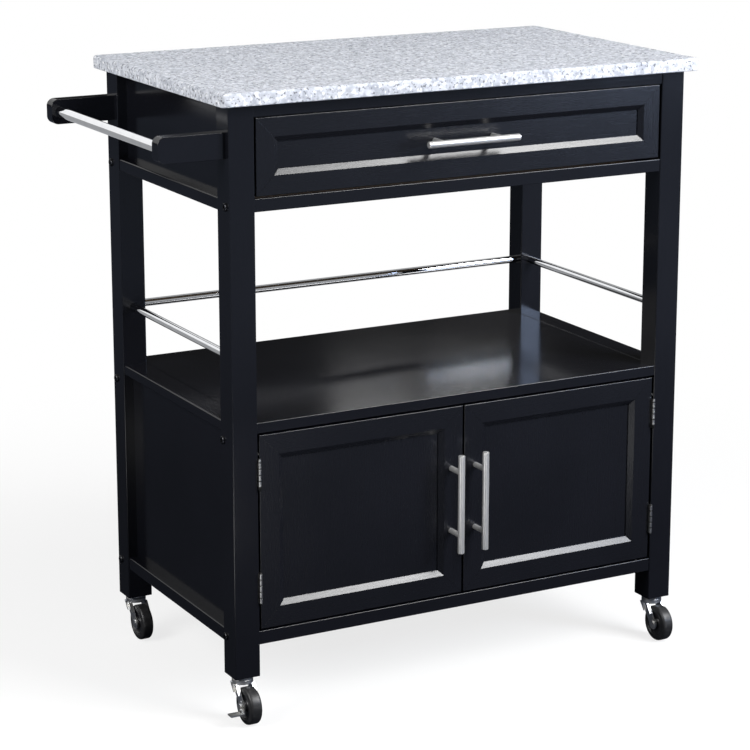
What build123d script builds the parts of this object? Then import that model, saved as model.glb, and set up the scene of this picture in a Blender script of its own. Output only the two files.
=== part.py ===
"""A rolling kitchen cart: granite worktop, black wooden frame, drawer, open shelf and two-door cabinet.

Millimetres, +Z up. The origin is on the floor under the middle of the whole cart, +X runs to the
right along the front and the front faces -Y. The towel bar is on the -X side.
"""
from build123d import *
import os

# Whole cart
CART_HEIGHT = 914.0
FRAME_WIDTH = 750.0
FRAME_DEPTH = 428.0
CUT_OVERRUN = 6.0
FIT_CLEAR = 0.1

# Granite worktop
TOP_THICKNESS = 19.0
TOP_OVERHANG = 16.0
TOP_CORNER_RADIUS = 8.0
TOP_EDGE_RADIUS = 4.0
TOP_UNDER_RADIUS = 2.0

# Legs and the boards between them
LEG = 39.0
LEG_EASE = 1.5
BOARD = 18.5
SHELF_BOARD = 15.5
FLOOR_BOARD = 20.0
PANEL = 12.0
BOARD_INSET = 1.5
EDGE_EASE = 0.9
SIDE_RAIL_EASE = 2.5
PANEL_INSET = 16.0
BACK_INSET = 6.0
FRONT_RAIL_DEPTH = 40.0
FLOOR_HEIGHT = 115.0
SHELF_HEIGHT = 429.0
DRAWER_BAY_HEIGHT = 113.0
CLEAT_HEIGHT = 22.0
CLEAT_DEPTH = 18.0
CLEAT_SETBACK = 24.0

# Bolts through the legs into the ends of the boards
BOLT_RADIUS = 3.0
BOLT_LENGTH = 62.0
BOLT_HEAD_RADIUS = 6.0
BOLT_HEAD_HEIGHT = 3.0
BOLT_HEAD_EASE = 1.8
BOLT_SETBACK = 12.0
DEEP_BOLT_EDGE = 8.0

# Framed drawer front and doors
FRONT_GAP = 3.0
DRAWER_TOP_GAP = 1.0
FRONT_THICKNESS = 17.0
DOOR_MEMBER = 38.5
DRAWER_MEMBER = 35.5
BEVEL_WIDTH = 8.0
BEVEL_DEPTH = 5.0
FIELD_DEPTH = 6.5
FIELD_THICKNESS = 6.0
FIELD_TONGUE = 8.0

# Bar pulls
PULL_RADIUS = 5.0
PULL_LENGTH = 150.0
PULL_CENTRES = 96.0
PULL_PROJECTION = 30.0
PULL_POST_RADIUS = 4.0
PULL_END_EASE = 0.8
DOOR_PULL_INSET = 19.0
DOOR_PULL_RISE = 3.0

# Drawer box and its wooden runners
DRAWER_WALL = 12.0
DRAWER_BOX_RISE = 8.0
DRAWER_BOX_DROP = 20.0
DRAWER_BACK_GAP = 46.5
DRAWER_SIDE_GAP = 5.0
DRAWER_BOTTOM = 5.0
DRAWER_BOTTOM_RISE = 8.0
DRAWER_BOTTOM_TONGUE = 5.0
RUNNER_HEIGHT = 12.0
RUNNER_RISE = 40.0
RUNNER_TONGUE = 6.5
RUNNER_CLEAR = 0.3
RUNNER_UNDER_CLEAR = 1.0

# Butt hinges and magnetic catches of the doors
HINGE_LENGTH = 45.0
HINGE_TOP_DROP = 56.5
HINGE_BOTTOM_RISE = 62.5
KNUCKLE_COUNT = 5
KNUCKLE_GAP = 0.5
KNUCKLE_EASE = 0.6
BARREL_RADIUS = 2.2
BARREL_CLEAR = 0.4
LEAF_THICKNESS = 1.3
LEAF_REACH = 16.0
PIN_RADIUS = 1.2
PIN_CLEAR = 0.05
PIN_HEAD_RADIUS = 1.9
PIN_HEAD_HEIGHT = 1.0
CATCH_LENGTH = 40.0
CATCH_DEPTH = 15.0
CATCH_HEIGHT = 12.0
CATCH_OFFSET = 45.0
CATCH_CLEAR = 0.3
STRIKE_LENGTH = 30.0
STRIKE_HEIGHT = 10.0
STRIKE_THICKNESS = 1.2

# Gallery rails round the shelf
GALLERY_RADIUS = 6.0
GALLERY_RISE = 89.5
GALLERY_SEAT = 8.0

# Towel bar
ARM_REACH = 100.0
ARM_HEIGHT = 37.0
ARM_DROP = 55.5
ARM_THICKNESS = 20.0
ARM_CORNER_RADIUS = 11.0
TOWEL_BAR_RADIUS = 8.0
TOWEL_BAR_SEAT = 8.0
TOWEL_BAR_FROM_END = 14.0

# Swivel casters
CASTER_HEIGHT = 68.0
WHEEL_RADIUS = 27.5
WHEEL_WIDTH = 18.0
TYRE_EDGE_RADIUS = 4.0
WHEEL_HUB_RADIUS = 9.0
WHEEL_RIM_RADIUS = 20.5
WHEEL_DISH = 3.0
CASTER_TRAIL = 22.0
AXLE_RADIUS = 3.0
AXLE_HEAD_RADIUS = 5.5
AXLE_HEAD = 1.8
WHEEL_SIDE_CLEAR = 1.2
FORK_PLATE = 2.0
FORK_BOSS_RADIUS = 9.0
FORK_LIP = 3.0
FORK_LIP_RISE = 16.0
CROWN_RADIUS = 15.5
CROWN_DEPTH = 8.0
CROWN_EASE = 2.5
STEM_RADIUS = 4.0
STEM_LENGTH = 34.0
COLLAR_RADIUS = 15.0
COLLAR_HEIGHT = 3.0
NECK_RADIUS = 5.0
RIVET_RADIUS = 8.0
RIVET_HEIGHT = 3.0
SWIVEL_CLEAR = 0.3
BRAKE_PLATE = 2.0
BRAKE_RADIUS = 8.5
BRAKE_PEDAL_REACH = 20.0
BRAKE_PEDAL_FRONT = 13.0
BRAKE_PEDAL_CLEAR = 0.6

# Faces worked out from the sizes above, in the frame whose origin is under the middle of the cart
PULL_OVERHANG = PULL_PROJECTION + PULL_RADIUS - BOARD_INSET
LEFT = (ARM_REACH - FRAME_WIDTH - TOP_OVERHANG) / 2
RIGHT = LEFT + FRAME_WIDTH
FRONT = (PULL_OVERHANG - FRAME_DEPTH - TOP_OVERHANG) / 2
BACK = FRONT + FRAME_DEPTH
MIDDLE = (LEFT + RIGHT) / 2
SIDES = {"left": (LEFT, 1), "right": (RIGHT, -1)}
ENDS = {"front": (FRONT, 1), "back": (BACK, -1)}
LEG_TOP = CART_HEIGHT - TOP_THICKNESS
INNER_X = (LEFT + LEG, RIGHT - LEG)
INNER_Y = (FRONT + LEG, BACK - LEG)
FLOOR_TOP = FLOOR_HEIGHT + FLOOR_BOARD
SHELF_TOP = SHELF_HEIGHT + SHELF_BOARD
GALLERY_HEIGHT = SHELF_TOP + GALLERY_RISE
TOP_RAIL_HEIGHT = LEG_TOP - BOARD
DRAWER_RAIL_TOP = TOP_RAIL_HEIGHT - DRAWER_BAY_HEIGHT
DRAWER_RAIL_HEIGHT = DRAWER_RAIL_TOP - BOARD
ARM_MIDDLE_HEIGHT = LEG_TOP - ARM_DROP
ARM_INSET = (LEG - ARM_THICKNESS) / 2
FRONT_FACE = FRONT + BOARD_INSET
FRONT_REAR = FRONT_FACE + FRONT_THICKNESS
FIELD_FACE = FRONT_FACE + FIELD_DEPTH
DOOR_Z = (FLOOR_TOP + FRONT_GAP, SHELF_HEIGHT - FRONT_GAP)
DRAWER_X = (INNER_X[0] + FRONT_GAP, INNER_X[1] - FRONT_GAP)
DRAWER_Z = (DRAWER_RAIL_TOP + FRONT_GAP, TOP_RAIL_HEIGHT - DRAWER_TOP_GAP)
BOX_X = (INNER_X[0] + DRAWER_SIDE_GAP, INNER_X[1] - DRAWER_SIDE_GAP)
BOX_Y = (FRONT_REAR, BACK - BACK_INSET - PANEL - DRAWER_BACK_GAP)
BOX_Z = (DRAWER_Z[0] + DRAWER_BOX_RISE, DRAWER_Z[1] - DRAWER_BOX_DROP)
RUNNER_Z = (BOX_Z[0] + RUNNER_RISE, BOX_Z[0] + RUNNER_RISE + RUNNER_HEIGHT)
BOTTOM_Z = (BOX_Z[0] + DRAWER_BOTTOM_RISE, BOX_Z[0] + DRAWER_BOTTOM_RISE + DRAWER_BOTTOM)
HINGE_HEIGHTS = (DOOR_Z[0] + HINGE_BOTTOM_RISE, DOOR_Z[1] - HINGE_TOP_DROP)
HINGE_Y = FRONT - BARREL_RADIUS - BARREL_CLEAR
CROWN_TOP = CASTER_HEIGHT - COLLAR_HEIGHT - SWIVEL_CLEAR
FORK_INNER = WHEEL_WIDTH / 2 + WHEEL_SIDE_CLEAR
FORK_OUTER = FORK_INNER + FORK_PLATE


def middle(span):
    """The middle of a span."""
    return (span[0] + span[1]) / 2


def across(side, near, far):
    """A span of X measured inwards from the legs' outer face on one side."""
    face, inward = SIDES[side]
    return sorted((face + inward * near, face + inward * far))


def along(end, near, far):
    """A span of Y measured inwards from the legs' outer face at the front or back."""
    face, inward = ENDS[end]
    return sorted((face + inward * near, face + inward * far))


def block(x_span, y_span, z_span):
    """A square-edged board between three pairs of faces."""
    spans = (x_span, y_span, z_span)
    sizes = [high - low for low, high in spans]
    return Pos(*[middle(span) for span in spans]) * Box(*sizes)


def rod(radius, start, end):
    """A round bar from one point to another."""
    path = Vector(*end) - Vector(*start)
    seat = (Align.CENTER, Align.CENTER, Align.MIN)
    return Plane(origin=start, z_dir=path) * Cylinder(radius, path.length, align=seat)


def save(node, *shapes):
    """Write all the solids of one node to its own file."""
    solids = [solid for shape in shapes for solid in shape.solids()]
    export_step(Compound(solids), f"parts/{node}.step")


def worktop():
    """Granite slab with rounded corners, a soft top edge and a smaller one below."""
    x_span = (LEFT - TOP_OVERHANG, RIGHT + TOP_OVERHANG)
    y_span = (FRONT - TOP_OVERHANG, BACK + TOP_OVERHANG)
    slab = block(x_span, y_span, (LEG_TOP, CART_HEIGHT))
    slab = fillet(slab.edges().filter_by(Axis.Z), TOP_CORNER_RADIUS)
    slab = fillet(slab.faces().sort_by(Axis.Z)[-1].edges(), TOP_EDGE_RADIUS)
    return fillet(slab.faces().sort_by(Axis.Z)[0].edges(), TOP_UNDER_RADIUS)


def leg_centre(side, end):
    """Plan position of a leg's middle."""
    return middle(across(side, 0, LEG)), middle(along(end, 0, LEG))


def bolt_places(end):
    """Y and Z of the three bolts in a leg: drawer rail, shelf cleat and cabinet floor."""
    heights = (
        DRAWER_RAIL_HEIGHT + BOARD / 2,
        SHELF_HEIGHT - CLEAT_HEIGHT / 2,
        FLOOR_HEIGHT + FLOOR_BOARD / 2,
    )
    deep = LEG - DEEP_BOLT_EDGE if end == "front" else BOLT_SETBACK
    face, inward = ENDS[end]
    setbacks = (BOLT_SETBACK, deep, deep)
    return [(face + inward * setback, height) for setback, height in zip(setbacks, heights)]


def bolt_shanks(extra):
    """Shanks of all the leg bolts, made fatter and longer by extra to drill their holes."""
    shanks = []
    for face, inward in SIDES.values():
        for end in ENDS:
            for y, z in bolt_places(end):
                tip = (face + inward * (BOLT_LENGTH + extra), y, z)
                shanks.append(rod(BOLT_RADIUS + extra, (face, y, z), tip))
    return shanks


def bolt_heads():
    """Low domed heads that sit on the legs' outer faces."""
    heads = []
    for face, inward in SIDES.values():
        for end in ENDS:
            for y, z in bolt_places(end):
                crown = (face - inward * BOLT_HEAD_HEIGHT, y, z)
                head = rod(BOLT_HEAD_RADIUS, (face, y, z), crown)
                rim = head.edges().sort_by(Axis.X)[0 if inward > 0 else -1]
                heads.append(fillet(rim, BOLT_HEAD_EASE))
    return heads


def gallery_rods(extra):
    """Back, left and right rails above the shelf, longer and fatter by extra to cut their sockets."""
    seat = GALLERY_SEAT + extra
    radius = GALLERY_RADIUS + extra
    back_y = middle(along("back", 0, LEG))
    starts = {"back": (INNER_X[0] - seat, back_y, GALLERY_HEIGHT)}
    ends = {"back": (INNER_X[1] + seat, back_y, GALLERY_HEIGHT)}
    for side in SIDES:
        x = middle(across(side, 0, LEG))
        starts[side] = (x, INNER_Y[0] - seat, GALLERY_HEIGHT)
        ends[side] = (x, INNER_Y[1] + seat, GALLERY_HEIGHT)
    return {name: rod(radius, starts[name], ends[name]) for name in starts}


def leg(side, end):
    """Square leg with eased corners, bolt holes, rail sockets and a caster hole in its foot."""
    post = block(across(side, 0, LEG), along(end, 0, LEG), (CASTER_HEIGHT, LEG_TOP))
    post = fillet(post.edges().filter_by(Axis.Z), LEG_EASE)
    face, inward = SIDES[side]
    for y, z in bolt_places(end):
        mouth = (face - inward * CUT_OVERRUN, y, z)
        post -= rod(BOLT_RADIUS + FIT_CLEAR, mouth, (face + inward * (LEG + CUT_OVERRUN), y, z))
    for name, rail in gallery_rods(FIT_CLEAR).items():
        if name == side or name == end:
            post -= rail
    x, y = leg_centre(side, end)
    foot = (x, y, CASTER_HEIGHT - CUT_OVERRUN)
    return post - rod(STEM_RADIUS + FIT_CLEAR, foot, (x, y, CASTER_HEIGHT + STEM_LENGTH + FIT_CLEAR))


def drilled(board):
    """A board with the leg bolts' pilot holes in its ends."""
    for shank in bolt_shanks(FIT_CLEAR):
        board -= shank
    return board


def eased(board, run, ease):
    """A board with the four long edges along its run softened."""
    return fillet(board.edges().filter_by(run), ease)


def front_rail(bottom):
    """Rail between the front legs, above or below the drawer."""
    y_span = (FRONT_FACE, FRONT_FACE + FRONT_RAIL_DEPTH)
    return drilled(eased(block(INNER_X, y_span, (bottom, bottom + BOARD)), Axis.X, EDGE_EASE))


def deck(bottom, top):
    """Flush board between the legs from front to back: the shelf, or the cabinet floor."""
    board = block(INNER_X, (FRONT_FACE, BACK - BOARD_INSET), (bottom, top))
    return drilled(eased(board, Axis.X, EDGE_EASE))


def side_rail(side, bottom, top):
    """Rail between the front and back legs, as wide as a leg so that it leaves a ledge outside."""
    rail = block(across(side, BOARD_INSET, LEG), INNER_Y, (bottom, top))
    return eased(rail, Axis.Y, SIDE_RAIL_EASE)


def side_board(side, bottom, top):
    """Flat panel between two legs, set in from their outer faces."""
    return block(across(side, PANEL_INSET, PANEL_INSET + PANEL), INNER_Y, (bottom, top))


def back_board(bottom, top):
    """Flat panel between the back legs."""
    return drilled(block(INNER_X, along("back", BACK_INSET, BACK_INSET + PANEL), (bottom, top)))


def shelf_cleat():
    """Cleat under the shelf behind the doors, which stiffens it and carries the catches."""
    y_span = (FRONT + CLEAT_SETBACK, FRONT + CLEAT_SETBACK + CLEAT_DEPTH)
    return drilled(block(INNER_X, y_span, (SHELF_HEIGHT - CLEAT_HEIGHT, SHELF_HEIGHT)))


def towel_bar(extra):
    """Round bar between the two arms, longer and fatter by extra to cut its sockets."""
    x = LEFT - ARM_REACH + TOWEL_BAR_FROM_END
    reach = ARM_INSET + ARM_THICKNESS - TOWEL_BAR_SEAT - extra
    start = (x, FRONT + reach, ARM_MIDDLE_HEIGHT)
    return rod(TOWEL_BAR_RADIUS + extra, start, (x, BACK - reach, ARM_MIDDLE_HEIGHT))


def towel_arm(end):
    """Wooden arm on the middle of the left leg, with its outer corners rounded and its edges eased."""
    z_span = (ARM_MIDDLE_HEIGHT - ARM_HEIGHT / 2, ARM_MIDDLE_HEIGHT + ARM_HEIGHT / 2)
    arm = block((LEFT - ARM_REACH, LEFT), along(end, ARM_INSET, ARM_INSET + ARM_THICKNESS), z_span)
    tip = arm.faces().sort_by(Axis.X)[0]
    arm = fillet(tip.edges().filter_by(Axis.Y), ARM_CORNER_RADIUS)
    cheeks = arm.faces().filter_by(Axis.Y).edges()
    free_edges = cheeks.filter_by_position(Axis.X, LEFT - ARM_REACH, LEFT, inclusive=(True, False))
    return fillet(free_edges, EDGE_EASE) - towel_bar(FIT_CLEAR)


def mitred_member(length, width):
    """One side of a framed front: eased outside, bevelled and grooved inside, mitred at both ends."""
    groove_floor = width - FIELD_TONGUE - FIT_CLEAR
    groove_rear = FIELD_DEPTH + FIELD_THICKNESS + FIT_CLEAR
    section = Polyline(
        (0, 0),
        (0, width - BEVEL_WIDTH),
        (BEVEL_DEPTH, width),
        (FIELD_DEPTH - FIT_CLEAR, width),
        (FIELD_DEPTH - FIT_CLEAR, groove_floor),
        (groove_rear, groove_floor),
        (groove_rear, width),
        (FRONT_THICKNESS, width),
        (FRONT_THICKNESS, 0),
        close=True,
    )
    mitres = Polyline(
        (0, 0),
        (length, 0),
        (length - width, width),
        (width, width),
        close=True,
    )
    section = make_face(section)
    section = fillet(section.vertices().sort_by_distance((0, 0))[0], EDGE_EASE)
    stick = extrude(Plane.YZ * section, length)
    ends = extrude(Plane.XZ * make_face(mitres), FRONT_THICKNESS + CUT_OVERRUN, both=True)
    return stick & ends


def front_frame(x_span, z_span, member):
    """Four mitred members round the recessed field of a door or drawer front."""
    wide = mitred_member(x_span[1] - x_span[0], member)
    tall = mitred_member(z_span[1] - z_span[0], member)
    return [
        Pos(x_span[0], FRONT_FACE, z_span[0]) * wide,
        Pos(x_span[1], FRONT_FACE, z_span[1]) * Rot(0, 180, 0) * wide,
        Pos(x_span[0], FRONT_FACE, z_span[1]) * Rot(0, 90, 0) * tall,
        Pos(x_span[1], FRONT_FACE, z_span[0]) * Rot(0, -90, 0) * tall,
    ]


def front_field(x_span, z_span, member):
    """Thin recessed panel held in the grooves of its frame."""
    edge = member - FIELD_TONGUE
    x_field = (x_span[0] + edge, x_span[1] - edge)
    z_field = (z_span[0] + edge, z_span[1] - edge)
    return block(x_field, (FIELD_FACE, FIELD_FACE + FIELD_THICKNESS), z_field)


def bar_pull(x, z, seat_y, direction):
    """Round bar on two posts whose ends are coped to the bar."""
    centre = Vector(x, seat_y - PULL_PROJECTION, z)
    half = direction * (PULL_LENGTH / 2)
    bar = rod(PULL_RADIUS, centre - half, centre + half)
    ends = bar.edges().filter_by(GeomType.CIRCLE)
    shapes = [chamfer(ends, PULL_END_EASE)]
    for way in (-1, 1):
        foot = Vector(x, seat_y, z) + direction * (way * PULL_CENTRES / 2)
        post = rod(PULL_POST_RADIUS, foot, foot - Vector(0, PULL_PROJECTION, 0))
        shapes.append(post - bar)
    return shapes


def drawer_side(side):
    """Side of the drawer box, grooved outside for its runner and inside for the bottom."""
    outer = LEG + DRAWER_SIDE_GAP
    board = block(across(side, outer, outer + DRAWER_WALL), BOX_Y, BOX_Z)
    track_x = across(side, outer - CUT_OVERRUN, outer + RUNNER_TONGUE + RUNNER_CLEAR)
    track_y = (INNER_Y[0] - RUNNER_UNDER_CLEAR, BOX_Y[1] + CUT_OVERRUN)
    track_z = (RUNNER_Z[0] - RUNNER_UNDER_CLEAR, RUNNER_Z[1] + RUNNER_CLEAR)
    return board - block(track_x, track_y, track_z) - drawer_bottom(FIT_CLEAR)


def drawer_back():
    """Back of the drawer box, grooved for the bottom."""
    x_span = (BOX_X[0] + DRAWER_WALL, BOX_X[1] - DRAWER_WALL)
    return block(x_span, (BOX_Y[1] - DRAWER_WALL, BOX_Y[1]), BOX_Z) - drawer_bottom(FIT_CLEAR)


def drawer_bottom(extra):
    """Thin drawer bottom, grown by extra to cut the grooves that hold it."""
    edge = DRAWER_WALL - DRAWER_BOTTOM_TONGUE - extra
    x_span = (BOX_X[0] + edge, BOX_X[1] - edge)
    y_span = (BOX_Y[0], BOX_Y[1] - edge)
    return block(x_span, y_span, (BOTTOM_Z[0] - extra, BOTTOM_Z[1] + extra))


def drawer_runner(side):
    """Wooden strip on the apron whose edge runs in the drawer side's groove."""
    x_span = across(side, PANEL_INSET + PANEL, LEG + DRAWER_SIDE_GAP + RUNNER_TONGUE)
    return block(x_span, INNER_Y, RUNNER_Z)


def door_span(side):
    """X span of one door between its leg and the middle gap."""
    width = (INNER_X[1] - INNER_X[0] - FRONT_GAP * len(SIDES) - FRONT_GAP) / len(SIDES)
    return across(side, LEG + FRONT_GAP, LEG + FRONT_GAP + width)


def hinge_x(side):
    """X of a door's hinge pins, in the middle of the gap beside its leg."""
    return middle(across(side, LEG, LEG + FRONT_GAP))


def hinge_pins(side, extra):
    """The two pins of a door's hinges, fatter by extra to bore the knuckles."""
    x = hinge_x(side)
    half = HINGE_LENGTH / 2
    return [
        rod(PIN_RADIUS + extra, (x, HINGE_Y, height - half), (x, HINGE_Y, height + half))
        for height in HINGE_HEIGHTS
    ]


def hinge_pin_heads(side):
    """Small heads at both ends of the pins."""
    x = hinge_x(side)
    heads = []
    for height in HINGE_HEIGHTS:
        for way in (-1, 1):
            rim = height + way * HINGE_LENGTH / 2
            crown = (x, HINGE_Y, rim + way * PIN_HEAD_HEIGHT)
            heads.append(rod(PIN_HEAD_RADIUS, (x, HINGE_Y, rim), crown))
    return heads


def hinge_leaves(side, x_span, knuckles):
    """Leaves of a door's two hinges with the given knuckles rolled on their front edges."""
    x = hinge_x(side)
    pitch = (HINGE_LENGTH + KNUCKLE_GAP) / KNUCKLE_COUNT
    plate_y = (HINGE_Y + BARREL_RADIUS + BARREL_CLEAR, FRONT + LEAF_REACH)
    leaves = []
    for height, pin in zip(HINGE_HEIGHTS, hinge_pins(side, PIN_CLEAR)):
        low = height - HINGE_LENGTH / 2
        leaf = block(x_span, plate_y, (low, low + HINGE_LENGTH))
        for index in knuckles:
            start = low + index * pitch
            stop = start + pitch - KNUCKLE_GAP
            leaf += block(x_span, (HINGE_Y, plate_y[1]), (start, stop))
            knuckle = rod(BARREL_RADIUS, (x, HINGE_Y, start), (x, HINGE_Y, stop))
            leaf += chamfer(knuckle.edges().filter_by(GeomType.CIRCLE), KNUCKLE_EASE)
        leaves.append(leaf - pin)
    return leaves


def leg_leaves(side):
    """Hinge leaves on the leg, with the end knuckles."""
    return hinge_leaves(side, across(side, LEG, LEG + LEAF_THICKNESS), range(0, KNUCKLE_COUNT, 2))


def door_leaves(side):
    """Hinge leaves on the door's edge, with the knuckles between."""
    x_span = across(side, LEG + FRONT_GAP - LEAF_THICKNESS, LEG + FRONT_GAP)
    return hinge_leaves(side, x_span, range(1, KNUCKLE_COUNT, 2))


def catch_x(side):
    """X of a door's catch, near the edge where the doors meet."""
    return MIDDLE - SIDES[side][1] * CATCH_OFFSET


def door_catch(side):
    """Magnetic catch under the cleat."""
    x = catch_x(side)
    front = FRONT_REAR + STRIKE_THICKNESS + CATCH_CLEAR
    top = SHELF_HEIGHT - CLEAT_HEIGHT
    x_span = (x - CATCH_LENGTH / 2, x + CATCH_LENGTH / 2)
    return block(x_span, (front, front + CATCH_DEPTH), (top - CATCH_HEIGHT, top))


def door_strike(side):
    """Steel plate behind the door that meets its catch."""
    x = catch_x(side)
    z = SHELF_HEIGHT - CLEAT_HEIGHT - CATCH_HEIGHT / 2
    x_span = (x - STRIKE_LENGTH / 2, x + STRIKE_LENGTH / 2)
    y_span = (FRONT_REAR, FRONT_REAR + STRIKE_THICKNESS)
    return block(x_span, y_span, (z - STRIKE_HEIGHT / 2, z + STRIKE_HEIGHT / 2))


def turned(x, y, outline):
    """A turned piece from its half outline of radius and height, set on an upright axis."""
    half = Plane.XZ * make_face(Polyline(*outline, close=True))
    return Pos(x, y, 0) * revolve(half, Axis.Z)


def caster_stem(x, y):
    """Stem that fills the leg's hole, with a collar under the leg and a riveted head under the crown."""
    collar_foot = CASTER_HEIGHT - COLLAR_HEIGHT
    rivet_top = CROWN_TOP - FORK_PLATE - SWIVEL_CLEAR
    rivet_foot = rivet_top - RIVET_HEIGHT
    outline = [
        (0, rivet_foot),
        (RIVET_RADIUS, rivet_foot),
        (RIVET_RADIUS, rivet_top),
        (NECK_RADIUS, rivet_top),
        (NECK_RADIUS, collar_foot),
        (COLLAR_RADIUS, collar_foot),
        (COLLAR_RADIUS, CASTER_HEIGHT),
        (STEM_RADIUS, CASTER_HEIGHT),
        (STEM_RADIUS, CASTER_HEIGHT + STEM_LENGTH),
        (0, CASTER_HEIGHT + STEM_LENGTH),
    ]
    return turned(x, y, outline)


def axle_place(x, y):
    """Middle of a caster's axle, which trails towards the front."""
    return x, y - CASTER_TRAIL, WHEEL_RADIUS


def caster_fork(x, y):
    """Pressed fork: a cupped crown with two cheeks that lean to the axle and have lips turned outwards."""
    bore = NECK_RADIUS + SWIVEL_CLEAR
    inner = CROWN_RADIUS - FORK_PLATE
    outline = [
        (bore, CROWN_TOP - FORK_PLATE),
        (inner, CROWN_TOP - FORK_PLATE),
        (inner, CROWN_TOP - CROWN_DEPTH),
        (CROWN_RADIUS, CROWN_TOP - CROWN_DEPTH),
        (CROWN_RADIUS, CROWN_TOP - CROWN_EASE),
        (CROWN_RADIUS - CROWN_EASE, CROWN_TOP),
        (bore, CROWN_TOP),
    ]
    fork = turned(x, y, outline)
    axle_x, axle_y, axle_z = axle_place(x, y)
    cheek_top = CROWN_TOP - FORK_PLATE / 2
    skirt_foot = CROWN_TOP - CROWN_DEPTH
    shoulder = (CROWN_RADIUS ** 2 - FORK_OUTER ** 2) ** (1 / 2)
    outline = Polyline(
        (y - shoulder, cheek_top),
        (y + shoulder, cheek_top),
        (y + shoulder, skirt_foot),
        (axle_y + FORK_BOSS_RADIUS, axle_z),
        (axle_y - FORK_BOSS_RADIUS, axle_z),
        (y - shoulder, skirt_foot),
        close=True,
    )
    cheek = make_face(outline) + Pos(axle_y, axle_z) * Circle(FORK_BOSS_RADIUS)
    lips = []
    for way in (-1, 1):
        lip_y = y + way * shoulder
        lean = (axle_y + way * FORK_BOSS_RADIUS - lip_y) / (skirt_foot - axle_z)
        foot_z = axle_z + FORK_LIP_RISE
        foot_y = lip_y + lean * (skirt_foot - foot_z)
        lips.append(make_face(Polyline(
            (lip_y, skirt_foot),
            (lip_y - way * FORK_PLATE, skirt_foot),
            (foot_y - way * FORK_PLATE, foot_z),
            (foot_y, foot_z),
            close=True,
        )))
    for start, lip_start in ((x - FORK_OUTER, x - FORK_OUTER - FORK_LIP), (x + FORK_INNER, x + FORK_INNER)):
        fork += extrude(Plane.YZ.offset(start) * cheek, FORK_PLATE)
        for lip in lips:
            fork += extrude(Plane.YZ.offset(lip_start) * lip, FORK_PLATE + FORK_LIP)
    reach = FORK_OUTER + CUT_OVERRUN
    bore_ends = [(axle_x + way * reach, axle_y, axle_z) for way in (-1, 1)]
    return fork - rod(AXLE_RADIUS + FIT_CLEAR / 2, *bore_ends)


def caster_axle(x, y, braked):
    """Riveted axle through both cheeks, longer on the brake's side."""
    axle_x, axle_y, axle_z = axle_place(x, y)
    left_reach = FORK_OUTER + (SWIVEL_CLEAR * 2 + BRAKE_PLATE if braked else 0)
    left = (axle_x - left_reach, axle_y, axle_z)
    right = (axle_x + FORK_OUTER, axle_y, axle_z)
    axle = rod(AXLE_RADIUS, left, right)
    axle += rod(AXLE_HEAD_RADIUS, left, (left[0] - AXLE_HEAD, axle_y, axle_z))
    return axle + rod(AXLE_HEAD_RADIUS, right, (right[0] + AXLE_HEAD, axle_y, axle_z))


def caster_wheel(x, y):
    """Wheel with a rounded tread and dished sides round its hub."""
    axle_x, axle_y, axle_z = axle_place(x, y)
    half = WHEEL_WIDTH / 2
    bore = AXLE_RADIUS + FIT_CLEAR
    dish = half - WHEEL_DISH
    upper = Polyline(
        (-half + TYRE_EDGE_RADIUS, WHEEL_RADIUS),
        (half - TYRE_EDGE_RADIUS, WHEEL_RADIUS),
    )
    corner = (1 - 1 / 2 ** (1 / 2)) * TYRE_EDGE_RADIUS
    right_edge = ThreePointArc(
        (half - TYRE_EDGE_RADIUS, WHEEL_RADIUS),
        (half - corner, WHEEL_RADIUS - corner),
        (half, WHEEL_RADIUS - TYRE_EDGE_RADIUS),
    )
    left_edge = ThreePointArc(
        (-half, WHEEL_RADIUS - TYRE_EDGE_RADIUS),
        (-half + corner, WHEEL_RADIUS - corner),
        (-half + TYRE_EDGE_RADIUS, WHEEL_RADIUS),
    )
    sides = Polyline(
        (half, WHEEL_RADIUS - TYRE_EDGE_RADIUS),
        (half, WHEEL_RIM_RADIUS),
        (dish, WHEEL_RIM_RADIUS - WHEEL_DISH),
        (dish, WHEEL_HUB_RADIUS),
        (half, WHEEL_HUB_RADIUS),
        (half, bore),
        (-half, bore),
        (-half, WHEEL_HUB_RADIUS),
        (-dish, WHEEL_HUB_RADIUS),
        (-dish, WHEEL_RIM_RADIUS - WHEEL_DISH),
        (-half, WHEEL_RIM_RADIUS),
        (-half, WHEEL_RADIUS - TYRE_EDGE_RADIUS),
    )
    profile = make_face(Curve() + [upper, right_edge, sides, left_edge])
    return Pos(axle_x, axle_y, axle_z) * revolve(Plane.XZ * profile, Axis.X)


def brake_lever(x, y):
    """Side lever on the axle with a pedal turned outwards."""
    axle_x, axle_y, axle_z = axle_place(x, y)
    inner = axle_x - FORK_OUTER - SWIVEL_CLEAR
    outer = inner - BRAKE_PLATE
    pedal_y = (axle_y - BRAKE_PEDAL_FRONT, axle_y)
    pedal_top = axle_z - AXLE_HEAD_RADIUS - BRAKE_PEDAL_CLEAR
    pedal_z = (pedal_top - BRAKE_PLATE, pedal_top)
    lever = rod(BRAKE_RADIUS, (inner, axle_y, axle_z), (outer, axle_y, axle_z))
    lever += block((outer, inner), pedal_y, (pedal_z[0], axle_z))
    lever += block((outer - BRAKE_PEDAL_REACH, inner), pedal_y, pedal_z)
    hole_ends = [(edge, axle_y, axle_z) for edge in (outer - CUT_OVERRUN, inner + CUT_OVERRUN)]
    return lever - rod(AXLE_RADIUS + FIT_CLEAR, *hole_ends)


os.makedirs("parts", exist_ok=True)

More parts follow.
